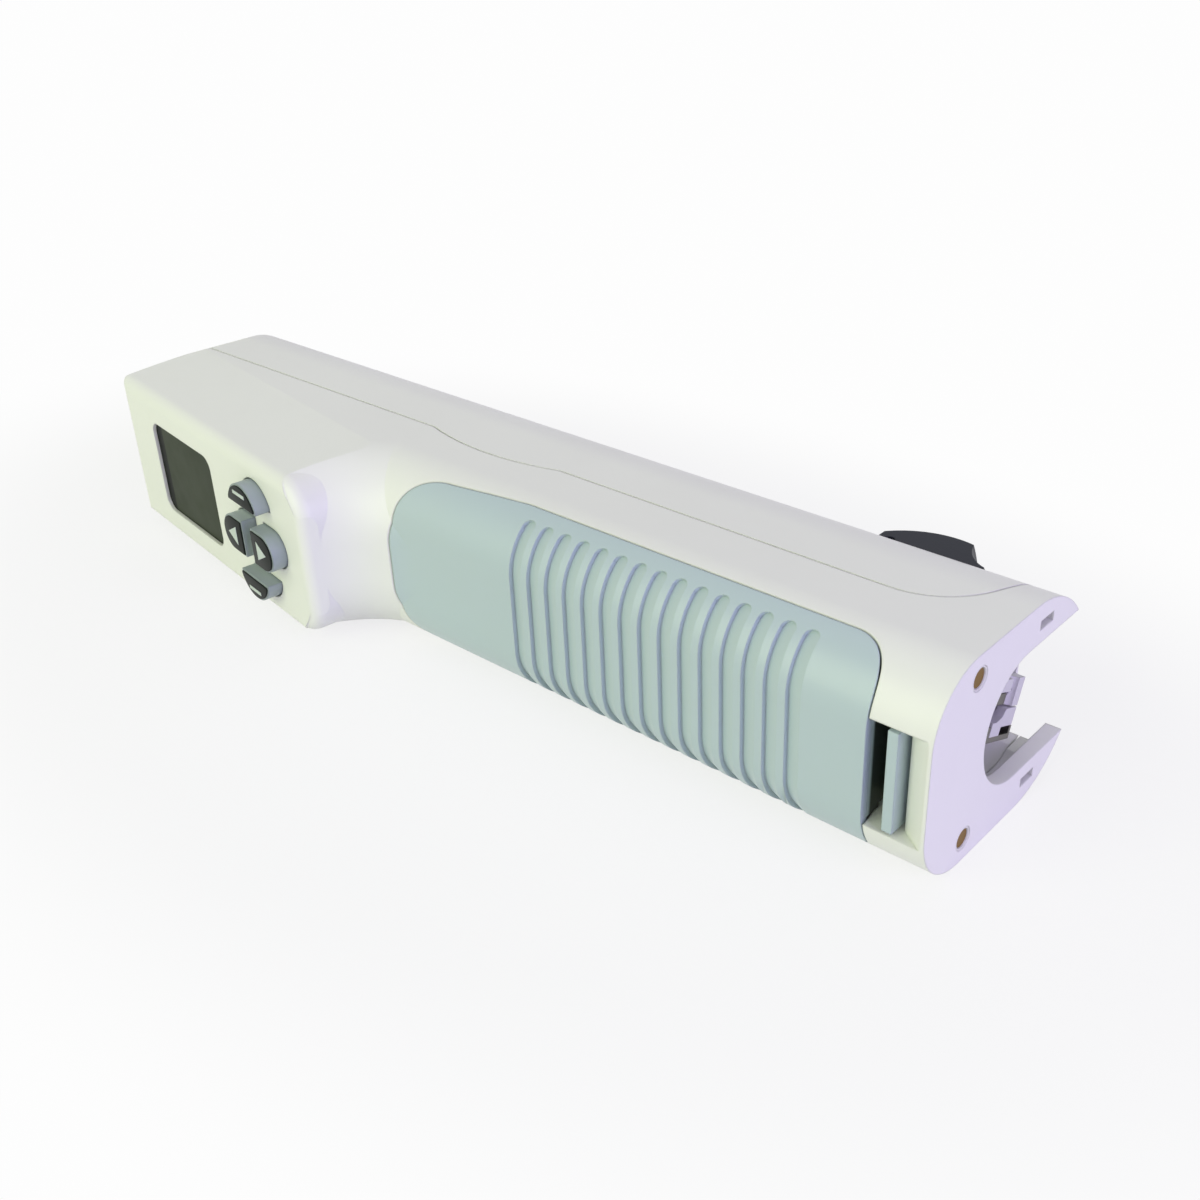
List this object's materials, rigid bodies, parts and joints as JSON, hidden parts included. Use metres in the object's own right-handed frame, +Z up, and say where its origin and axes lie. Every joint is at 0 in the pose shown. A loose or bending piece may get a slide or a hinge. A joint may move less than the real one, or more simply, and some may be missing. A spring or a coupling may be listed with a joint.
{
  "type": "repeating pipette",
  "caption": "Hand-held electronic repeating pipette with a tilted display head, ribbed battery cover, finger trigger and side-loading syringe end.",
  "frame": {"origin": "on the piston axis, in the plane of the syringe end face", "axes": "+X along the body out of the syringe end, +Y toward the trigger (back), +Z up with the pipette lying on its flat side"},
  "size_m": [0.2191, 0.0703, 0.04],
  "materials": {
    "shell": "fine satin moulding",
    "window": "clear acrylic",
    "display": "dark display glass",
    "key": "satin silicone",
    "grip": "satin",
    "dark_plastic": "satin",
    "cell": "printed sleeve",
    "frame_plastic": "natural acetal",
    "steel": "bright",
    "clip_steel": "spring steel",
    "motor_can": "plated can",
    "brass": "machined",
    "gear_plastic": "natural acetal",
    "trigger": "satin",
    "board": "solder mask",
    "contact": "worn plating"
  },
  "bodies": {
    "body": {"front_housing": "shell", "rear_housing": "shell", "display_window": "window", "lcd_module": "display", "dome_switches": "steel", "main_board": "board", "battery_tray": "dark_plastic", "cell_upper": "cell", "cell_lower": "cell", "cell_springs": "steel", "cell_plate": "steel", "chassis": "frame_plastic", "chassis_screws": "steel", "motor": "motor_can", "nut_bearing_front": "steel", "nut_bearing_rear": "steel", "guide_rail_upper": "steel", "guide_rail_lower": "steel", "trigger_pin": "steel", "trigger_spring": "steel", "trigger_switch": "dark_plastic", "switch_board": "board", "charge_pin_upper": "contact", "charge_pin_lower": "contact"},
    "upper_key": {"key_upper": "key"},
    "left_key": {"key_left": "key"},
    "right_key": {"key_right": "key"},
    "lower_key": {"key_lower": "key"},
    "cover": {"grip_cover": "grip"},
    "latch": {"cover_latch": "grip"},
    "piston": {"piston_rod": "steel", "gripper_block": "frame_plastic", "jaw_pins": "steel", "jaw_clip": "clip_steel"},
    "nut": {"nut_gear": "gear_plastic"},
    "pinion": {"motor_pinion": "brass"},
    "upper_jaw": {"jaw_upper": "frame_plastic"},
    "lower_jaw": {"jaw_lower": "frame_plastic", "jaw_band": "clip_steel"},
    "finger_trigger": {"trigger": "trigger"}
  },
  "joints": [
    {"name": "upper_key_press", "type": "slide", "parent": "body", "child": "upper_key", "axis": [0.1564, 0.9877, 0], "range_m": [0, 0.0008], "stiffness_N_per_m": 500, "springref_m": -0.0008},
    {"name": "left_key_press", "type": "slide", "parent": "body", "child": "left_key", "axis": [0.1564, 0.9877, 0], "range_m": [0, 0.0008], "stiffness_N_per_m": 500, "springref_m": -0.0008},
    {"name": "right_key_press", "type": "slide", "parent": "body", "child": "right_key", "axis": [0.1564, 0.9877, 0], "range_m": [0, 0.0008], "stiffness_N_per_m": 500, "springref_m": -0.0008},
    {"name": "lower_key_press", "type": "slide", "parent": "body", "child": "lower_key", "axis": [0.1564, 0.9877, 0], "range_m": [0, 0.0008], "stiffness_N_per_m": 500, "springref_m": -0.0008},
    {"name": "cover_swing", "type": "hinge", "parent": "body", "child": "cover", "pos_m": [-0.1222, -0.0301, 0], "axis": [0, 0, 1], "range_deg": [-45, 0]},
    {"name": "latch_flex", "type": "hinge", "parent": "cover", "child": "latch", "pos_m": [-0.00965, -0.0226, 0], "axis": [0, 0, 1], "range_deg": [-8, 0], "stiffness_Nm_per_rad": 0.05, "springref_deg": 5.73},
    {"name": "piston_slide", "type": "slide", "parent": "body", "child": "piston", "axis": [1, 0, 0], "range_m": [-0.05, 0]},
    {"name": "nut_spin", "type": "hinge", "parent": "body", "child": "nut", "pos_m": [-0.112, 0, 0], "axis": [1, 0, 0], "continuous": true},
    {"name": "pinion_spin", "type": "hinge", "parent": "body", "child": "pinion", "pos_m": [-0.112, -0.014, 0], "axis": [1, 0, 0], "continuous": true},
    {"name": "upper_jaw_open", "type": "hinge", "parent": "piston", "child": "upper_jaw", "pos_m": [-0.016, 0.00157, 0.00379], "axis": [0, 0.9239, -0.3827], "range_deg": [-6, 0], "stiffness_Nm_per_rad": 0.1, "springref_deg": 5.73},
    {"name": "lower_jaw_open", "type": "hinge", "parent": "piston", "child": "lower_jaw", "pos_m": [-0.016, -0.00157, -0.00379], "axis": [0, 0.9239, -0.3827], "range_deg": [0, 6], "stiffness_Nm_per_rad": 0.1, "springref_deg": -5.73},
    {"name": "trigger_pull", "type": "hinge", "parent": "body", "child": "finger_trigger", "pos_m": [-0.0356, 0.0149, 0], "axis": [0, 0, 1], "range_deg": [-5, 0], "stiffness_Nm_per_rad": 0.5, "springref_deg": 5.73}
  ],
  "couplings": [
    {"joint": "nut_spin", "follows": "piston_slide", "rad_per_m": -628.32},
    {"joint": "pinion_spin", "follows": "piston_slide", "rad_per_m": 1885},
    {"joint": "lower_jaw_open", "follows": "upper_jaw_open", "ratio": -1}
  ]
}
